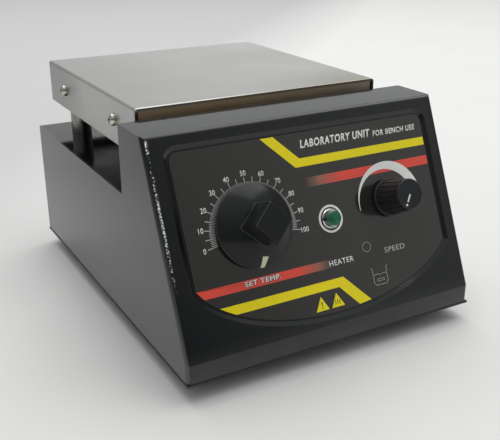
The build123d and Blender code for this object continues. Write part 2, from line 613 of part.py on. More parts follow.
# ================================================================ power inlet and earth stud
FLANGE_T = 2.8
SOCKET_D = 17.0
inlet = block(-25.0, 25.0, 0, FLANGE_T, -11.5, 11.5)
inlet = fillet(inlet.edges().filter_by(Axis.Y), 3.0)
inlet += block(-INLET_W / 2, INLET_W / 2, -22.0, 0, -INLET_H / 2, INLET_H / 2)
inlet -= block(-12.1, 12.1, FLANGE_T - SOCKET_D, FLANGE_T + 1, -8.3, 8.3)
for dx in (-INLET_SCREW_DX, INLET_SCREW_DX):
    inlet -= Pos(dx, 0, 0) * Rot(90, 0, 0) * Cylinder(INLET_SCREW_R + 0.1, 10)
blades = []
for x, z in ((-7.0, -2.0), (7.0, -2.0), (0.0, 2.0)):
    blade = block(x - 1.0, x + 1.0, -30.0, 0.5, z - 2.0, z + 2.0)
    inlet -= blade
    blades.append(blade)
at_inlet = Pos(INLET_X, REAR_Y, INLET_Z)
inlet_screw = Pos(0, FLANGE_T, 0) * Rot(-90, 0, 0) * pan_screw(INLET_SCREW_R, 8.5, 2.7, 1.7)
inlet_nut = Rot(-90, 0, 0) * (hexagon(5.5, -SHEET - 2.4, -SHEET) - rod(INLET_SCREW_R + 0.02, -9, 1))
save("inlet_body", at_inlet * inlet)
save("inlet_blades", *[at_inlet * b for b in blades])
save("inlet_screws", *[at_inlet * Pos(dx, 0, 0) * inlet_screw for dx in (-INLET_SCREW_DX, INLET_SCREW_DX)])
save("inlet_nuts", *[at_inlet * Pos(dx, 0, 0) * inlet_nut for dx in (-INLET_SCREW_DX, INLET_SCREW_DX)])

EARTH_X, EARTH_Y = -12.0, REAR_Y - 20.0
stud_top = DECK_Z - SHEET
earth_stud = Pos(EARTH_X, EARTH_Y, 0) * rod(2.0, stud_top - 12.0, stud_top)
earth_nut = Pos(EARTH_X, EARTH_Y, 0) * (
    hexagon(7.0, stud_top - 6.0, stud_top - 2.8) - rod(2.02, stud_top - 20.0, stud_top)
)
save("earth_stud", earth_stud)
save("earth_nut", earth_nut)
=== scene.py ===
"""Looks of the magnetic stirrer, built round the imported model. Metres, +Z up, the fascia faces -Y."""

import json  # noqa: E402
from math import cos, radians, sin, sqrt  # noqa: E402

import bmesh  # noqa: E402
import bpy  # noqa: E402
from mathutils import Matrix, Vector  # noqa: E402


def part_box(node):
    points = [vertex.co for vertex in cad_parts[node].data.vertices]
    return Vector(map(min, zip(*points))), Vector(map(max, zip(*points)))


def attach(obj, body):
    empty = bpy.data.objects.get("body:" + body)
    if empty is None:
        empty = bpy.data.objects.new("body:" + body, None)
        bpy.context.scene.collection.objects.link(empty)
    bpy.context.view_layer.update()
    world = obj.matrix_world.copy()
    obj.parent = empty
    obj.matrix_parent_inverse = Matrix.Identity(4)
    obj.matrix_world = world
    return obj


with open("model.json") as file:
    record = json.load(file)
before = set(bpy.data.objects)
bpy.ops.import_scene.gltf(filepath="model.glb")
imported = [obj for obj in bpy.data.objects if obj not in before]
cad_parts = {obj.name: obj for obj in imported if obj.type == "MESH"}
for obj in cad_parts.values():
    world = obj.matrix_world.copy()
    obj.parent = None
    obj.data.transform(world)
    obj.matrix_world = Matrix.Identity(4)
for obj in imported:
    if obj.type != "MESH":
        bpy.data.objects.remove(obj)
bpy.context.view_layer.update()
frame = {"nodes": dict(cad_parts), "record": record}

MM = 0.001
NODES = frame["nodes"]
JOINTS = {joint["name"]: joint for joint in frame["record"]["behaviour"]["joints"]}

# ---------------------------------------------------------------- fascia frame
# Marks are placed in millimetres on the sloping fascia: u to the right, v up from its lower crease
TEMP_U, TEMP_V = -38.3, 57.9      # where the heat knob's axis meets the fascia
FACE = -0.7                       # the printed overlay's surface, below the fascia plane
ACROSS = Vector((1, 0, 0))
OUT = -Vector(JOINTS["temp_turn"]["axis"]).normalized()
UP = OUT.cross(ACROSS).normalized()
CREASE = Vector(JOINTS["temp_turn"]["pos_m"]) - ACROSS * TEMP_U * MM - UP * TEMP_V * MM
FASCIA = Matrix.Translation(CREASE) @ Matrix((ACROSS, UP, OUT)).transposed().to_4x4()


# ================================================================ node helpers
class Shader:
    """Short way to build a node tree."""

    def __init__(self, tree, coordinates):
        self.tree = tree
        self.tree.nodes.clear()
        self.coords = self.new("TexCoord").outputs[coordinates]

    def new(self, kind):
        return self.tree.nodes.new("ShaderNode" + kind)

    def link(self, a, b):
        self.tree.links.new(a, b)

    def fill(self, socket, value):
        """Sets a socket from a number, a colour or another node's output."""
        if isinstance(value, bpy.types.NodeSocket):
            self.link(value, socket)
        elif isinstance(value, tuple) and len(value) == 3 and socket.type == "RGBA":
            socket.default_value = (*value, 1.0)
        else:
            socket.default_value = value

    def fill_all(self, node, **values):
        for name, value in values.items():
            self.fill(node.inputs[name.replace("_", " ")], value)

    def axes(self):
        """The three coordinates."""
        node = self.new("SeparateXYZ")
        self.link(self.coords, node.inputs[0])
        return node.outputs["X"], node.outputs["Y"], node.outputs["Z"]

    def span(self, value, low, high, to_low=0.0, to_high=1.0, smooth=False):
        """Runs from to_low to to_high as value goes from low to high, and stays there beyond."""
        node = self.new("MapRange")
        node.interpolation_type = "SMOOTHSTEP" if smooth else "LINEAR"
        self.fill_all(node, Value=value, From_Min=low, From_Max=high, To_Min=to_low, To_Max=to_high)
        return node.outputs["Result"]

    def sums(self, operation, a, b=0.0):
        node = self.new("Math")
        node.operation = operation
        self.fill(node.inputs[0], a)
        self.fill(node.inputs[1], b)
        return node.outputs[0]

    def times(self, first, *others):
        product = first
        for other in others:
            product = self.sums("MULTIPLY", product, other)
        return product

    def plus(self, a, b):
        return self.sums("ADD", a, b)


class Nodes(Shader):
    """A material of one Principled shader, in the object's own coordinates."""

    def __init__(self, made):
        made.use_nodes = True
        super().__init__(made.node_tree, "Object")
        self.bsdf = self.new("BsdfPrincipled")
        self.link(self.bsdf.outputs[0], self.new("OutputMaterial").inputs[0])

    def set(self, **values):
        self.fill_all(self.bsdf, **values)

    def mapped(self, scale, rotation=(0, 0, 0)):
        node = self.new("Mapping")
        self.fill_all(node, Vector=self.coords, Scale=scale, Rotation=rotation)
        return node.outputs[0]

    def noise(self, scale, detail=4.0, rough=0.55, vector=None):
        node = self.new("TexNoise")
        self.fill_all(node, Vector=vector or self.coords, Scale=scale, Detail=detail, Roughness=rough)
        return node.outputs["Fac"]

    def cells(self, scale):
        node = self.new("TexVoronoi")
        self.fill_all(node, Vector=self.coords, Scale=scale)
        return node.outputs["Distance"]

    def mix(self, factor, a, b):
        node = self.new("Mix")
        node.data_type = "RGBA"
        for name, value in (("Factor", factor), ("A", a), ("B", b)):
            self.fill(next(s for s in node.inputs if s.name == name and s.enabled), value)
        return next(s for s in node.outputs if s.enabled)

    def bump(self, height, strength, distance=0.0002):
        """Adds a bump on top of any that is already there."""
        node = self.new("Bump")
        self.fill_all(node, Height=height, Strength=strength, Distance=distance)
        if self.bsdf.inputs["Normal"].is_linked:
            self.link(self.bsdf.inputs["Normal"].links[0].from_socket, node.inputs["Normal"])
        self.link(node.outputs[0], self.bsdf.inputs["Normal"])

    def worn_edges(self, radius, start, full):
        """0 on flats, 1 on sharp edges."""
        bevel = self.new("Bevel")
        self.fill_all(bevel, Radius=radius)
        dot = self.new("VectorMath")
        dot.operation = "DOT_PRODUCT"
        self.link(bevel.outputs[0], dot.inputs[0])
        self.link(self.new("NewGeometry").outputs["Normal"], dot.inputs[1])
        return self.span(self.sums("SUBTRACT", 1.0, dot.outputs["Value"]), start, full)

    def edge_wear(self, radius, start, full, amount, highlight_tone):
        """Lightens the sharp edges of a finished surface, a painted highlight along them."""
        tone = self.bsdf.inputs["Base Color"].links[0].from_socket
        edge_highlight = self.times(self.worn_edges(radius, start, full), amount)
        self.set(Base_Color=self.mix(edge_highlight, tone, highlight_tone))


MATERIALS = {}


def material(name):
    MATERIALS[name] = bpy.data.materials.new(name)
    return MATERIALS[name]


def plastic(name, dark, light, rough, grain=2500, grain_depth=0.08, blotch=60):
    """Moulded plastic, rubber or paint: two close colours, uneven gloss and a fine moulded grain."""
    n = Nodes(material(name))
    n.set(Base_Color=n.mix(n.noise(blotch, 3), dark, light))
    n.set(Roughness=n.span(n.noise(blotch * 3, 4), 0.3, 0.7, rough * 0.85, rough * 1.2))
    n.bump(n.noise(grain, 2), grain_depth)
    return n


def even(scale):
    """Grain without a direction."""
    return scale, scale, scale


def metal(name, dark, light, rough, grain=(40, 900, 900), depth=0.12, blotch=30):
    """Worked metal: grain drawn out along one axis, or even, with uneven colour."""
    n = Nodes(material(name))
    lines = n.noise(1.0, 3, 0.6, n.mapped(grain))
    n.set(Metallic=1.0, Base_Color=n.mix(n.span(n.noise(blotch, 3), 0.35, 0.65), dark, light))
    n.set(Roughness=n.span(lines, 0.3, 0.7, rough * 0.8, rough * 1.25))
    n.bump(lines, depth)
    return n


# ================================================================ materials of the case
def make_case_paint():
    """Gloss black powder coat: faint orange peel, dust specks, rubbed edges that double as a painted highlight,
    a painted glint along the left fold, and a painted reflection of the floor low on the sides.
    """
    n = Nodes(material("case_paint"))
    low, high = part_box("cabinet_shell")
    x, y, z = n.axes()
    tone = n.mix(n.noise(14, 3), (0.0030, 0.0038, 0.0050), (0.0055, 0.0063, 0.0075))

    # Sharp edges lightened: rubbed paint, and a painted highlight along the folds
    rubbed_and_highlit = n.times(n.worn_edges(0.0007, 0.024, 0.5), n.span(n.noise(260, 4), 0.55, 0.72))
    tone = n.mix(n.times(rubbed_and_highlit, 0.55), tone, (0.16, 0.16, 0.155))

    # Painted glint: a broken near-white highlight in a narrow band beside the fascia's left fold, brightest
    # half way up and at the top corner
    band = n.times(n.span(x, low.x + 0.0031, low.x + 0.0027), n.span(x, low.x + 0.0016, low.x + 0.0019))
    slope = n.span(y, low.y + 0.0430, low.y + 0.0424)
    upper_part = n.span(z, low.z + 0.040, low.z + 0.058)
    middle = n.times(n.span(z, low.z + 0.036, low.z + 0.066), n.span(z, high.z - 0.012, high.z - 0.034))
    corner = n.span(z, high.z - 0.0085, high.z - 0.0065, 0.0, 0.16)
    glint_breakup = n.plus(n.noise(1250, 2, 0.6), n.span(middle, 0.0, 1.0, -0.09, 0.05))
    fold_glint = n.times(band, slope, upper_part, n.span(n.plus(glint_breakup, corner), 0.51, 0.57))
    tone = n.mix(fold_glint, tone, (0.95, 0.97, 0.98))

    # Paler low down, dust together with a painted reflection of the floor; a painted floor reflection on the
    # two sides; and dust specks all over
    dust_and_floor_reflection = n.span(z, low.z + 0.016, low.z, 0.0, 0.20)
    tone = n.mix(n.times(dust_and_floor_reflection, n.span(n.noise(90, 4), 0.25, 0.75, 0.6, 1.0)), tone, (0.22, 0.225, 0.22))
    # Painted reflection of the floor: the two sides turn paler towards the bottom
    sides = n.span(n.sums("ABSOLUTE", x), high.x - 0.0016, high.x - 0.0012)
    painted_floor_reflection = n.times(sides, n.span(z, low.z + 0.110, low.z + 0.020, 0.0, 0.32))
    tone = n.mix(painted_floor_reflection, tone, (0.215, 0.225, 0.222))
    specks = n.times(n.span(n.cells(520), 0.0, 0.05, 1.0, 0.0), n.span(n.noise(35, 3), 0.52, 0.68), 0.35)
    n.set(Base_Color=n.mix(specks, tone, (0.20, 0.20, 0.19)))

    smear = n.noise(1.0, 4, 0.6, n.mapped((9, 20, 26), (0.3, 0.2, 0.4)))
    n.set(Roughness=n.span(smear, 0.3, 0.7, 0.055, 0.11), IOR=1.5)
    n.bump(n.noise(420, 2, 0.5), 0.22, 0.00010)
    n.bump(n.noise(60, 2), 0.10, 0.0004)


def make_stainless():
    """Fine brushed stainless with fingerprints, painted shade towards some edges and along the front fold, and
    heat tint, darkened towards its foot by painted shade, where the front flange faces the console.
    """
    n = Nodes(material("stainless_tray"))
    low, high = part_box("plate_cover")
    x, y, z = n.axes()
    brushed = n.noise(1.0, 3, 0.65, n.mapped((18, 1400, 1400)))
    tone = n.mix(n.span(n.noise(11, 4, 0.6), 0.35, 0.65), (0.610, 0.610, 0.590), (0.690, 0.690, 0.670))
    tone = n.mix(n.span(brushed, 0.35, 0.65, 0.0, 0.35), tone, (0.51, 0.51, 0.49))

    # Painted shade: darker towards the left edge, towards the front on the right, on the skirt's rear half and
    # along the front fold
    to_right = n.span(x, low.x + 0.060, high.x - 0.020)
    tone = n.mix(n.span(x, low.x + 0.075, low.x + 0.010, 0.0, 0.80), tone, (0.46, 0.46, 0.445))
    near_front = n.span(y, low.y + 0.045, low.y + 0.010, 0.0, 0.75)
    tone = n.mix(n.times(to_right, near_front), tone, (0.40, 0.375, 0.325))
    below_top = n.span(z, high.z - 0.0004, high.z - 0.0012)
    rear_half = n.span(y, high.y - 0.070, high.y - 0.030)
    tone = n.mix(n.times(below_top, rear_half), tone, (0.33, 0.33, 0.325))
    fold = n.span(y, low.y + 0.0022, low.y + 0.0012, 0.0, 0.85)
    along = n.span(x, low.x + 0.010, high.x - 0.060, 0.45, 1.0)
    tone = n.mix(n.times(fold, along), tone, (0.20, 0.175, 0.14))

    # The front flange, between its two ends and below the fold, is browned and rougher; the brown darkens
    # towards the bottom as painted shade and turns greyer towards the right
    between = n.span(n.sums("ABSOLUTE", x), high.x - 0.0012, high.x - 0.0016)
    face = n.span(y, low.y + 0.0030, low.y + 0.0016)
    flange = n.times(face, between, n.span(z, high.z - 0.0012, high.z - 0.0022))
    tint_and_shade = n.mix(n.span(z, high.z - 0.0060, low.z + 0.0040), (0.88, 0.66, 0.42), (0.52, 0.37, 0.23))
    tint_and_shade = n.mix(n.times(to_right, 0.7), tint_and_shade, (0.68, 0.60, 0.50))
    n.set(Metallic=1.0, Base_Color=n.mix(flange, tone, tint_and_shade))
    rough = n.span(n.noise(26, 5, 0.65), 0.3, 0.7, 0.26, 0.36)
    n.set(Roughness=n.plus(rough, n.times(flange, 0.22)))

    along_grain = n.new("CombineXYZ")
    n.fill_all(along_grain, X=1.0)
    n.set(Anisotropic=0.45, Tangent=along_grain.outputs[0])
    n.bump(brushed, 0.10, 0.00004)
    n.bump(n.noise(7, 2), 0.20, 0.0006)


def make_overlay():
    """Glossy polycarbonate overlay, warm dark grey, that mirrors the knobs softly."""
    n = Nodes(material("overlay_grey"))
    tone = n.mix(n.noise(16, 3), (0.0195, 0.0180, 0.0155), (0.0245, 0.0225, 0.0195))
    specks = n.span(n.cells(900), 0.0, 0.06, 0.10, 0.0)
    tone = n.mix(specks, tone, (0.16, 0.15, 0.14))
    n.set(Base_Color=tone, Roughness=n.span(n.noise(90, 4), 0.3, 0.7, 0.09, 0.14), IOR=1.65)
    n.bump(n.noise(1500, 2), 0.05, 0.00004)


def make_lens():
    """Green indicator lens: moulded plastic with prismatic facets behind a smooth skin."""
    n = Nodes(material("green_lens"))
    facet = n.cells(1300)
    tone = n.mix(n.span(facet, 0.1, 0.6), (0.002, 0.180, 0.075), (0.001, 0.060, 0.024))
    n.set(Base_Color=tone, Roughness=0.16, IOR=1.5)
    n.set(Coat_Weight=0.15, Coat_Roughness=0.05)
    n.set(Emission_Color=(0.005, 0.20, 0.09), Emission_Strength=0.10)
    n.bump(facet, 0.35, 0.0003)


def make_post_steel():
    """Turned steel post, dulled and slightly browned by heat."""
    n = Nodes(material("post_steel"))
    lines = n.noise(1.0, 3, 0.6, n.mapped((90, 90, 1600)))
    n.set(Metallic=1.0, Base_Color=n.mix(n.noise(120, 3), (0.30, 0.29, 0.275), (0.40, 0.385, 0.365)))
    n.set(Roughness=n.span(lines, 0.3, 0.7, 0.24, 0.36))
    n.bump(lines, 0.15)


def ink(name):
    """The finish that all screen-printed inks share."""
    n = Nodes(material(name))
    n.set(Roughness=n.span(n.noise(300, 3), 0.3, 0.7, 0.20, 0.24))
    n.bump(n.noise(1800, 2), 0.08, 0.00004)
    return n


def make_ink(name, tone, darker):
    """Ink with slightly uneven cover."""
    n = ink(name)
    n.set(Base_Color=n.mix(n.span(n.noise(220, 4), 0.35, 0.75), tone, darker))


def make_red_ink(name, none, full):
    """Red ink that fades through tan into the overlay along X, from none to full, in metres."""
    n = ink(name)
    x = n.axes()[0]
    cover = n.times(n.span(x, none, full), n.span(n.noise(400, 3), 0.2, 0.5, 0.9, 1.0))
    faded = n.mix(n.span(cover, 0.0, 0.40), (0.022, 0.020, 0.018), (0.25, 0.145, 0.105))
    n.set(Base_Color=n.mix(n.span(cover, 0.30, 1.0), faded, (0.90, 0.088, 0.060)))


make_case_paint()
make_stainless()
make_overlay()
make_lens()
make_post_steel()
make_ink("ink_white", (0.96, 0.96, 0.94), (0.92, 0.92, 0.90))
make_ink("ink_pale", (0.46, 0.45, 0.42), (0.36, 0.35, 0.33))
make_ink("ink_scale", (0.62, 0.62, 0.59), (0.55, 0.55, 0.52))
make_ink("ink_yellow", (1.0, 0.84, 0.003), (0.98, 0.82, 0.003))
make_ink("ink_black", (0.012, 0.012, 0.012), (0.02, 0.018, 0.016))
make_red_ink("ink_red_upper", -0.006, 0.019)
make_red_ink("ink_red_lower", 0.004, -0.019)

plastic("base_paint", (0.010, 0.011, 0.013), (0.016, 0.017, 0.020), 0.42, grain=900, grain_depth=0.12)
plastic("black_rubber", (0.012, 0.012, 0.012), (0.022, 0.022, 0.021), 0.75, grain=1500, grain_depth=0.35)
bakelite = plastic(
    "bakelite_black", (0.0125, 0.0142, 0.0142), (0.0170, 0.0186, 0.0186), 0.20, grain=260, grain_depth=0.04
)
bakelite.set(IOR=1.31)
# Painted highlight: the grip's sharp edges are lightened
bakelite.edge_wear(0.0009, 0.015, 0.35, 0.7, (0.30, 0.31, 0.31))
knob = plastic("knob_black", (0.0130, 0.0142, 0.0160), (0.0180, 0.0192, 0.0215), 0.34, grain=1800)
knob.set(IOR=1.38)
# Painted highlight: the speed knob's sharp rims are lightened
knob.edge_wear(0.0005, 0.015, 0.4, 0.5, (0.16, 0.17, 0.17))
plastic("cream_mark", (0.66, 0.64, 0.44), (0.78, 0.76, 0.56), 0.45, grain=900, grain_depth=0.15, blotch=500)
plastic("white_mark", (0.80, 0.80, 0.78), (0.88, 0.88, 0.86), 0.40, grain=900, grain_depth=0.10, blotch=500)
plastic("nylon_black", (0.02, 0.02, 0.02), (0.03, 0.03, 0.03), 0.45)
plastic("phenolic_brown", (0.05, 0.026, 0.015), (0.10, 0.05, 0.03), 0.40, grain=700)
plastic("inlet_black", (0.018, 0.018, 0.019), (0.028, 0.028, 0.030), 0.42, grain=1400, grain_depth=0.2)
plastic("mica_sheet", (0.36, 0.29, 0.18), (0.52, 0.44, 0.30), 0.35, grain=140, grain_depth=0.3)
plastic("ceramic_wool", (0.78, 0.77, 0.73), (0.88, 0.87, 0.83), 0.95, grain=500, grain_depth=0.9)
plastic("board_green", (0.012, 0.14, 0.055), (0.02, 0.20, 0.08), 0.35, grain=900)
plastic("capacitor_sleeve", (0.02, 0.035, 0.12), (0.03, 0.05, 0.17), 0.25)
plastic("terminal_green", (0.03, 0.28, 0.11), (0.05, 0.36, 0.15), 0.4)
plastic("transformer_tape", (0.52, 0.40, 0.07), (0.64, 0.50, 0.11), 0.45, grain=500, grain_depth=0.2)

metal("screw_plate", (0.50, 0.48, 0.42), (0.70, 0.68, 0.60), 0.22, grain=even(700), depth=0.15, blotch=400)
metal("bright_chrome", (0.78, 0.79, 0.80), (0.86, 0.87, 0.88), 0.07, grain=even(300), depth=0.03, blotch=300)
metal("brass_part", (0.62, 0.44, 0.18), (0.76, 0.57, 0.27), 0.28, blotch=200)
metal("plain_aluminium", (0.60, 0.60, 0.61), (0.74, 0.74, 0.75), 0.36, grain=(60, 700, 700))
metal("cast_aluminium", (0.50, 0.50, 0.51), (0.64, 0.64, 0.65), 0.50, grain=even(900), depth=0.4)
metal("pan_zinc", (0.36, 0.36, 0.36), (0.55, 0.55, 0.55), 0.42, grain=even(120), blotch=90)
metal("motor_steel", (0.34, 0.34, 0.35), (0.46, 0.46, 0.47), 0.40, grain=(900, 900, 50))
metal("turned_steel", (0.50, 0.50, 0.50), (0.64, 0.64, 0.64), 0.24, grain=(60, 60, 1500))
metal("ferrite_grey", (0.055, 0.055, 0.058), (0.085, 0.085, 0.09), 0.62, grain=even(800), depth=0.4)
metal("sintered_bronze", (0.42, 0.26, 0.12), (0.56, 0.37, 0.19), 0.45, grain=even(900), depth=0.3)

SURFACES = {
    "case_paint": ["cabinet_shell"],
    "base_paint": ["base_plate"],
    "stainless_tray": ["plate_cover"],
    "overlay_grey": ["fascia_label"],
    "green_lens": ["lamp_lens"],
    "bright_chrome": ["lamp_bezel"],
    "black_rubber": ["rubber_feet", "motor_gasket"],
    "bakelite_black": ["temp_knob"],
    "cream_mark": ["temp_pointer"],
    "knob_black": ["speed_knob"],
    "white_mark": ["speed_pointer"],
    "screw_plate": [
        "base_screws", "foot_screws", "foot_nuts", "plate_screws", "plate_nuts", "post_bolts",
        "post_nuts", "motor_screws", "board_screws", "inlet_screws", "inlet_nuts", "hub_screw",
        "speed_pot_nut",
    ],
    "post_steel": ["plate_posts"],
    "nylon_black": ["lamp_base"],
    "brass_part": [
        "lamp_leads", "lamp_nut", "regulator_tabs", "regulator_nut", "speed_pot_tabs", "board_standoffs",
        "inlet_blades", "earth_stud", "earth_nut",
    ],
    "phenolic_brown": ["regulator_body"],
    "plain_aluminium": ["speed_pot_body", "heat_spreader", "board_heatsink", "magnet_hub"],
    "mica_sheet": ["heater_element"],
    "ceramic_wool": ["insulation_pad"],
    "pan_zinc": ["heater_pan"],
    "motor_steel": ["motor_can", "rotor_core"],
    "cast_aluminium": ["motor_cap"],
    "sintered_bronze": ["motor_bearings"],
    "ferrite_grey": ["motor_magnets", "drive_magnets"],
    "board_green": ["speed_board"],
    "capacitor_sleeve": ["board_capacitors"],
    "transformer_tape": ["board_transformer"],
    "terminal_green": ["board_terminals"],
    "inlet_black": ["inlet_body"],
    "turned_steel": ["regulator_shaft", "speed_pot_shaft", "motor_shaft"],
}
for name, members in SURFACES.items():
    for member in members:
        NODES[member].data.materials.clear()
        NODES[member].data.materials.append(MATERIALS[name])


# ================================================================ printed marks on the overlay
PRINT_BODY, PRINT_SLOT = "chassis", "overlay_print"
INK_FOOT = 0.005          # gap between the overlay and an ink's underside, in mm
INK_FILM = 0.03           # top of the first ink layer above the overlay
INK_STEP = 0.015          # each further layer


def add_print(name, grown, surface):
    """Makes a piece of a bmesh that is already in the row frame."""
    bmesh.ops.recalc_face_normals(grown, faces=grown.faces)
    mesh = bpy.data.meshes.new(name)
    grown.to_mesh(mesh)
    grown.free()
    mesh.materials.append(MATERIALS[surface])
    piece = bpy.data.objects.new(name, mesh)
    bpy.context.scene.collection.objects.link(piece)
    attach(piece, PRINT_BODY)


def ink_levels(layer):
    """Underside and top of an ink layer, in fascia millimetres."""
    return FACE + INK_FOOT, FACE + INK_FILM + INK_STEP * layer


def prints(name, outlines, surface, layer=0):
    """Thin raised ink areas from outlines in fascia millimetres."""
    low, high = ink_levels(layer)
    grown = bmesh.new()
    for outline in outlines:
        top = [grown.verts.new(FASCIA @ Vector((u * MM, v * MM, high * MM))) for u, v in outline]
        bottom = [grown.verts.new(FASCIA @ Vector((u * MM, v * MM, low * MM))) for u, v in outline]
        grown.faces.new(top)
        grown.faces.new(list(reversed(bottom)))
        for i in range(len(top)):
            j = (i + 1) % len(top)
            grown.faces.new((top[j], top[i], bottom[i], bottom[j]))
    add_print(name, grown, surface)


def around(centre, radius, degrees_from_up):
    """Point at a clockwise angle from straight up."""
    a = radians(degrees_from_up)
    return centre[0] + radius * sin(a), centre[1] + radius * cos(a)


def ring(centre, inner, outer, steps=72):
    """Quads that make a ring."""
    turns = [360.0 * i / steps for i in range(steps + 1)]
    rim = [around(centre, outer, a) for a in turns]
    hole = [around(centre, inner, a) for a in turns]
    return [[rim[i], rim[i + 1], hole[i + 1], hole[i]] for i in range(steps)]


def stroke(points, width, closed=False):
    """Quads along a line of points, with mitred joints."""
    left, right = [], []
    count = len(points)
    for i, p in enumerate(points):
        before = points[i - 1] if closed or i > 0 else None
        after = points[(i + 1) % count] if closed or i < count - 1 else None
        directions = []
        for a, b in ((before, p), (p, after)):
            if a is not None and b is not None:
                directions.append((Vector(b) - Vector(a)).normalized())
        tangent = sum(directions, Vector((0, 0))).normalized()
        mitre = 1.0 / max(0.4, abs(directions[0].dot(tangent)))
        shift = Vector((-tangent.y, tangent.x)) * width / 2 * mitre
        left.append(tuple(Vector(p) + shift))
        right.append(tuple(Vector(p) - shift))
    ends = [(i, (i + 1) % count) for i in range(count if closed else count - 1)]
    return [[left[i], left[j], right[j], right[i]] for i, j in ends]


def letter_mesh(name, text, heavy, spacing):
    """Flat mesh of one line of text, in the font's own units."""
    curve = bpy.data.curves.new(name, "FONT")
    curve.body = text
    curve.resolution_u = 4
    curve.offset = heavy
    curve.space_character = spacing
    maker = bpy.data.objects.new(name, curve)
    bpy.context.scene.collection.objects.link(maker)
    bpy.context.view_layer.update()
    mesh = bpy.data.meshes.new_from_object(maker)
    bpy.data.objects.remove(maker)
    bpy.data.curves.remove(curve)
    return mesh


def lettering(name, words, surface="ink_white", slant=0.0, heavy=0.0, layer=1, spacing=1.06):
    """Printed words: each is the text, its centre u, baseline v, cap height and width (None: natural)."""
    natural_width = 0.86
    low, high = ink_levels(layer)
    grown = bmesh.new()
    for text, u, v, height, width in words:
        flat = letter_mesh(name, text, heavy, spacing)
        xs = [p.co.x for p in flat.vertices]
        grow_v = height / max(p.co.y for p in flat.vertices)
        grow_u = width / (max(xs) - min(xs)) if width else grow_v * natural_width
        middle = (max(xs) + min(xs)) / 2
        for p in flat.vertices:
            across = u + (p.co.x - middle) * grow_u + p.co.y * grow_v * slant
            p.co = Vector((across * MM, (v + p.co.y * grow_v) * MM, high * MM))
        grown.from_mesh(flat)
        bpy.data.meshes.remove(flat)
    bmesh.ops.remove_doubles(grown, verts=grown.verts, dist=1e-8)
    made = bmesh.ops.extrude_face_region(grown, geom=list(grown.faces))
    for item in made["geom"]:
        if isinstance(item, bmesh.types.BMVert):
            item.co.z = low * MM
    for vert in grown.verts:
        vert.co = FASCIA @ vert.co
    add_print(name, grown, surface)


# The overlay's outline: straight sides, and a lower edge that is part of an ellipse
LEFT_U, RIGHT_U = -74.8, 76.0
BELLY_A, BELLY_B = 79.8, 37.1
BELLY_U, BELLY_V = 2.0, 42.9


def belly(u):
    """Height of the overlay's lower edge at u."""
    return BELLY_V - BELLY_B * sqrt(1 - ((u - BELLY_U) / BELLY_A) ** 2)


def on_belly(u):
    return u, belly(u)


def left_on_belly(v):
    """The left point of the overlay's lower edge at height v."""
    return BELLY_U - BELLY_A * sqrt(1 - ((BELLY_V - v) / BELLY_B) ** 2), v


# Stripes: each yellow one bends where it meets a slanting end, and each red one fades at one end
UPPER_YELLOW = (81.9, 86.3)
UPPER_RED = (71.1, 76.0)
LOWER_RED = (28.2, 32.5)
LOWER_YELLOW = (17.6, 22.3)
LABEL_TOP = 99.1
low, high = UPPER_YELLOW
slanting = [(-25.2, LABEL_TOP), (-8.0, low), (-4.9, high), (-17.7, LABEL_TOP)]
level = [(-8.0, low), (RIGHT_U, low), (RIGHT_U, high), (-4.9, high)]
prints("stripe_yellow_upper", [slanting, level], "ink_yellow")
low, high = UPPER_RED
prints("stripe_red_upper", [[(-4.0, low), (RIGHT_U, low), (RIGHT_U, high), (-4.0, high)]], "ink_red_upper")
low, high = LOWER_RED
outline = [(LEFT_U, high), on_belly(LEFT_U), left_on_belly(low), (3.0, low), (3.0, high)]
prints("stripe_red_lower", [outline], "ink_red_lower")
low, high = LOWER_YELLOW
level = [left_on_belly(high), left_on_belly(19.9), left_on_belly(low), (3.6, low), (7.1, high)]
slanting = [(7.1, high), (3.6, low), on_belly(14.1), on_belly(21.7)]
prints("stripe_yellow_lower", [level, slanting], "ink_yellow")

# Heat scale: 0 to 100 over 200 degrees, with a mark at every unit and a longer one at every fifth
DIAL = (-38.1, 55.5)
DIAL_START, DIAL_STEP = -100.0, 2.0
MARK_INNER = 21.0
MARK_REACH, MARK_HALF = 24.2, 0.34           # outer radius and half width in degrees
FIFTH_REACH, FIFTH_HALF = 26.6, 0.42
NUMBER_REACH, LAST_NUMBER_REACH = 28.5, 28.9
NUMBER_HEIGHT = 2.6
marks, numbers = [], []
for value in range(101):
    angle = DIAL_START + DIAL_STEP * value
    reach, half = (MARK_REACH, MARK_HALF) if value % 5 else (FIFTH_REACH, FIFTH_HALF)
    a, b = angle - half, angle + half
    corners = [(MARK_INNER, a), (reach, a), (reach, b), (MARK_INNER, b)]
    marks.append([around(DIAL, radius, turn) for radius, turn in corners])
    if value % 10 == 0:
        u, v = around(DIAL, LAST_NUMBER_REACH if value == 100 else NUMBER_REACH, angle)
        numbers.append((str(value), u, v - NUMBER_HEIGHT / 2, NUMBER_HEIGHT, None))
prints("heat_scale_marks", marks, "ink_scale")
lettering("heat_scale_numbers", numbers, heavy=0.008)

# Speed wedge: a crescent that widens clockwise, between two circles that are not concentric
WEDGE_OUT, WEDGE_OUT_R = (46.3, 56.2), 20.7
WEDGE_IN, WEDGE_IN_R = (43.8, 55.1), 17.8
WEDGE_START, WEDGE_STOP, WEDGE_STEPS = -96.0, 96.0, 48
turns = [WEDGE_START + (WEDGE_STOP - WEDGE_START) * i / WEDGE_STEPS for i in range(WEDGE_STEPS + 1)]
rim = [around(WEDGE_OUT, WEDGE_OUT_R, turn) for turn in turns]
hole = [around(WEDGE_IN, WEDGE_IN_R, turn) for turn in turns]
wedge = [[rim[i], rim[i + 1], hole[i + 1], hole[i]] for i in range(WEDGE_STEPS)]
prints("speed_wedge", wedge, "ink_white", layer=1)

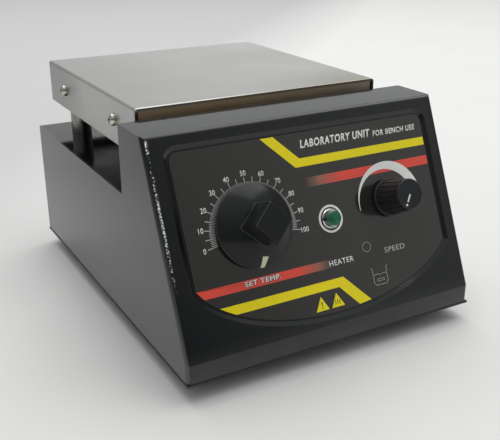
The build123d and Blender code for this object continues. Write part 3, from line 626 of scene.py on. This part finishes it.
# A ring round the lamp, and a small thin one above the word for the speed knob
LAMP_RING, LAMP_RING_INNER, LAMP_RING_OUTER = (6.7, 52.9), 6.1, 7.25
SPOT_RING, SPOT_RING_INNER, SPOT_RING_OUTER = (25.0, 34.3), 2.45, 2.72
prints("lamp_ring", ring(LAMP_RING, LAMP_RING_INNER, LAMP_RING_OUTER), "ink_white")
prints("spot_ring", ring(SPOT_RING, SPOT_RING_INNER, SPOT_RING_OUTER, steps=40), "ink_pale")

# Words by the controls. The heat knob's has a black backing that shows as an outline
WORD_ROW = 28.9
SET_U, SET_SLANT = -38.75, 0.05
lettering("word_speed", [("SPEED", 42.7, WORD_ROW, 2.7, 13.4)], "ink_scale", slant=0.02)
lettering("word_heater", [("HEATER", 8.0, WORD_ROW, 2.8, 15.2)], heavy=0.006)
backing = [("SET TEMP.", SET_U, WORD_ROW + 0.35, 2.8, 21.1)]
lettering("word_heat_back", backing, "ink_black", slant=SET_SLANT, heavy=0.06)
lettering("word_heat", [("SET TEMP.", SET_U, WORD_ROW + 0.5, 2.5, 20.5)], slant=SET_SLANT, heavy=0.020, layer=2)

TITLE_SLANT, TITLE_SPACING = 0.20, 1.12
title = [("LABORATORY UNIT", 18.9, 91.4, 4.0, 43.8)]
lettering("title_main", title, slant=TITLE_SLANT, heavy=0.030, spacing=TITLE_SPACING)
subtitle = [("FOR BENCH USE", 57.2, 91.1, 2.9, 28.4)]
lettering("title_small", subtitle, slant=TITLE_SLANT, heavy=0.022, spacing=TITLE_SPACING)

# Two warning triangles: an exclamation mark, and three waves of heat
attention = [(-12.6, 8.0), (-4.6, 8.0), (-8.5, 15.2)]
hot_surface = [(-3.0, 8.0), (5.0, 8.0), (0.9, 15.2)]
prints("triangles", [attention, hot_surface], "ink_yellow")
bar = [(-8.85, 12.6), (-8.15, 12.6), (-8.30, 10.3), (-8.70, 10.3)]
dot = [(-8.8, 9.7), (-8.2, 9.7), (-8.2, 9.1), (-8.8, 9.1)]
warnings = [bar, dot]
for u in (-0.4, 0.9, 2.2):
    warnings += stroke([(u - 0.2, 9.3), (u + 0.2, 10.1), (u - 0.2, 10.9), (u + 0.2, 11.7)], 0.34)
prints("warning_marks", warnings, "ink_black", layer=1)

# A plain beaker outline, with a wavy level and a small square label
THICK, THIN = 0.32, 0.26
left_side = [(24.6, 22.8), (25.6, 21.8), (25.6, 14.6), (26.8, 13.2)]
right_side = [(33.4, 13.2), (34.6, 14.6), (34.6, 21.8), (35.6, 22.8)]
beaker = stroke(left_side + right_side, THICK)
beaker += stroke([(26.0, 18.6), (28.2, 19.0), (30.2, 18.4), (32.4, 19.0), (34.3, 18.6)], THIN)
beaker += stroke([(27.8, 15.2), (32.4, 15.2), (32.4, 16.3), (27.8, 16.3)], THIN, closed=True)
prints("beaker_mark", beaker, "ink_pale")

# ================================================================ stage, light and camera
# Floor: pale, and a little darker far away on the left
FLOOR_HALF = 3.0
look = Nodes(material("studio_floor"))
x, y, z = look.axes()
far_left = look.span(look.sums("SUBTRACT", y, x), 0.14, 0.40)
near_tone = look.mix(look.noise(9, 4), (0.80, 0.80, 0.785), (0.86, 0.86, 0.845))
look.set(Base_Color=look.mix(far_left, near_tone, (0.60, 0.60, 0.595)), Roughness=0.8)
look.bump(look.noise(160, 3), 0.15, 0.0004)
corners = [(FLOOR_HALF * a, FLOOR_HALF * b, 0) for a, b in ((-1, -1), (1, -1), (1, 1), (-1, 1))]
mesh = bpy.data.meshes.new("floor")
mesh.from_pydata(corners, [], [(0, 1, 2, 3)])
mesh.materials.append(MATERIALS["studio_floor"])
floor = bpy.data.objects.new("floor", mesh)
bpy.context.scene.collection.objects.link(floor)

# One large soft light overhead, behind and to the right
LIGHT_PLACE, LIGHT_TARGET = Vector((0.40, 0.55, 1.8)), Vector((0, 0.05, 0))
softbox = bpy.data.lights.new("overhead", "AREA")
softbox.shape = "RECTANGLE"
softbox.size, softbox.size_y = 2.6, 1.9
softbox.energy = 27
lamp = bpy.data.objects.new("overhead", softbox)
lamp.location = LIGHT_PLACE
lamp.rotation_mode = "QUATERNION"
lamp.rotation_quaternion = (LIGHT_TARGET - LIGHT_PLACE).to_track_quat("-Z", "Y")
bpy.context.scene.collection.objects.link(lamp)

# A soft room: bright above and behind, dim in front, brighter in front towards the right
world = bpy.data.worlds.new("studio")
bpy.context.scene.world = world
world.use_nodes = True
room = Shader(world.node_tree, "Generated")
x, y, z = room.axes()
front_low = room.span(x, 0.34, 0.55, 0.12, 0.52)
front_high = room.span(x, 0.30, 0.60, 0.34, 0.60)
front = room.span(room.span(z, 0.15, 0.50), 0.0, 1.0, front_low, front_high)
back = room.span(x, -0.6, 0.2, 0.30, 0.66)
all_round = room.span(y, -0.60, 0.10, front, back, smooth=True)
all_round = room.times(room.span(x, 0.72, 0.90, 1.0, 0.30), all_round)
glow = room.new("Background")
room.fill_all(glow, Color=(0.97, 0.985, 0.98), Strength=room.span(z, 0.55, 0.90, all_round, 0.72))
room.link(glow.outputs[0], room.new("OutputWorld").inputs["Surface"])
bpy.context.scene.view_settings.view_transform = "Standard"

CAMERA_PLACE = (-0.2154, -0.40375, 0.2213)
LENS_MM, SENSOR_MM = 57.2, 36.0
YAW, PITCH, ROLL = radians(29.27), radians(22.0), radians(-0.13)
forward = Vector((sin(YAW) * cos(PITCH), cos(YAW) * cos(PITCH), -sin(PITCH)))
right = Vector((cos(YAW), -sin(YAW), 0))
above = right.cross(forward)
turned_right = right * cos(ROLL) + above * sin(ROLL)
turned_above = above * cos(ROLL) - right * sin(ROLL)
optics = bpy.data.cameras.new("view")
optics.lens = LENS_MM
optics.sensor_width = SENSOR_MM
optics.clip_start = 0.01
camera = bpy.data.objects.new("view", optics)
turn = Matrix((turned_right, turned_above, -forward)).transposed()
camera.matrix_world = Matrix.Translation(CAMERA_PLACE) @ turn.to_4x4()
bpy.context.scene.collection.objects.link(camera)
bpy.context.scene.camera = camera
